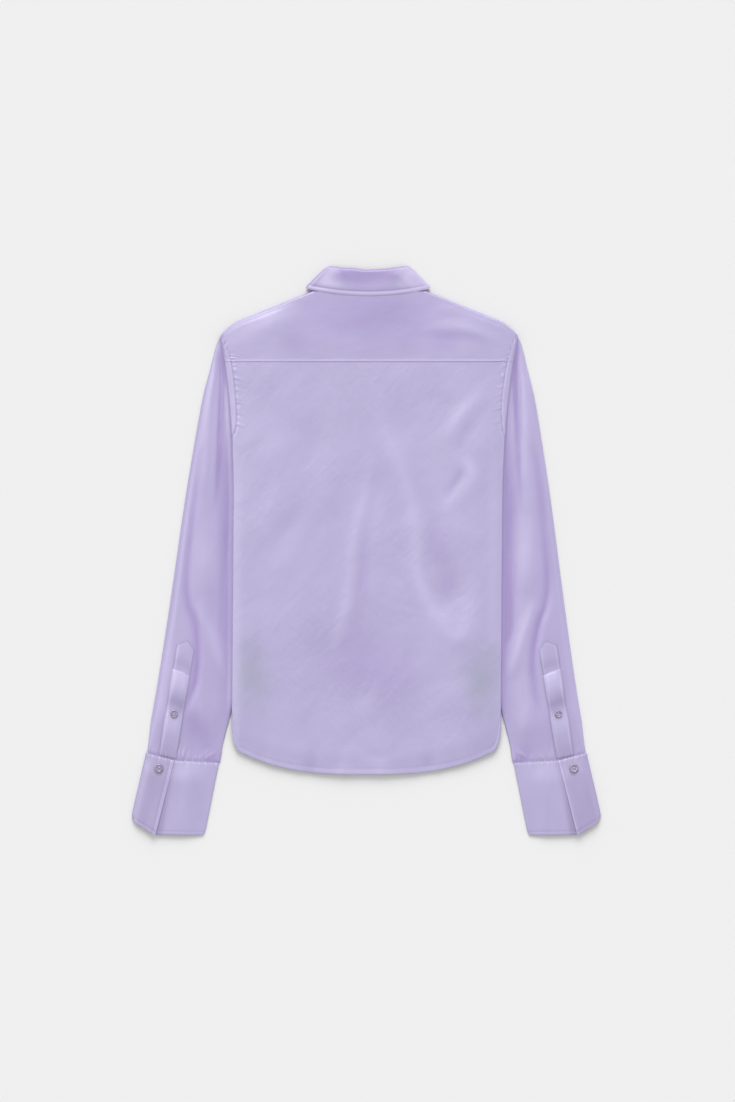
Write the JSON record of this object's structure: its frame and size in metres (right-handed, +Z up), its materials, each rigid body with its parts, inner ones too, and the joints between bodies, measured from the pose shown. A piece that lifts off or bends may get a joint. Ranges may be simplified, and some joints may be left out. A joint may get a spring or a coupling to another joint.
{
  "type": "long-sleeved satin shirt laid flat face down",
  "caption": "Lilac satin long-sleeved button shirt with a pointed collar, back yoke, buttoned cuffs and a curved hem, laid flat with its back up.",
  "frame": {"origin": "on the surface that the shirt lies on, below the middle of its bounding box", "axes": "+Y from the hem to the collar, +Z up out of the shirt's back, +X to the wearer's right"},
  "size_m": [0.6137, 0.7395, 0.0077],
  "materials": {
    "satin": "lilac satin weave, soft sheen",
    "satin_collar": "lilac satin weave, stiffened",
    "satin_cuff": "lilac satin weave, stiffened",
    "button": "pearly mauve, four holes"
  },
  "bodies": {
    "root": {"back": "satin", "yoke": "satin", "front_left": "satin", "front_right": "satin", "sleeve_left": "satin", "sleeve_right": "satin", "collar_fall": "satin_collar", "collar_stand": "satin_collar", "cuff_left": "satin_cuff", "cuff_right": "satin_cuff", "sleeve_placket_left": "satin_cuff", "sleeve_placket_right": "satin_cuff", "cuff_button_left": "button", "cuff_button_right": "button", "placket_button_left": "button", "placket_button_right": "button", "front_button_1": "button", "front_button_2": "button", "front_button_3": "button", "front_button_4": "button", "front_button_5": "button", "front_button_6": "button", "stand_button": "button"}
  },
  "joints": []
}
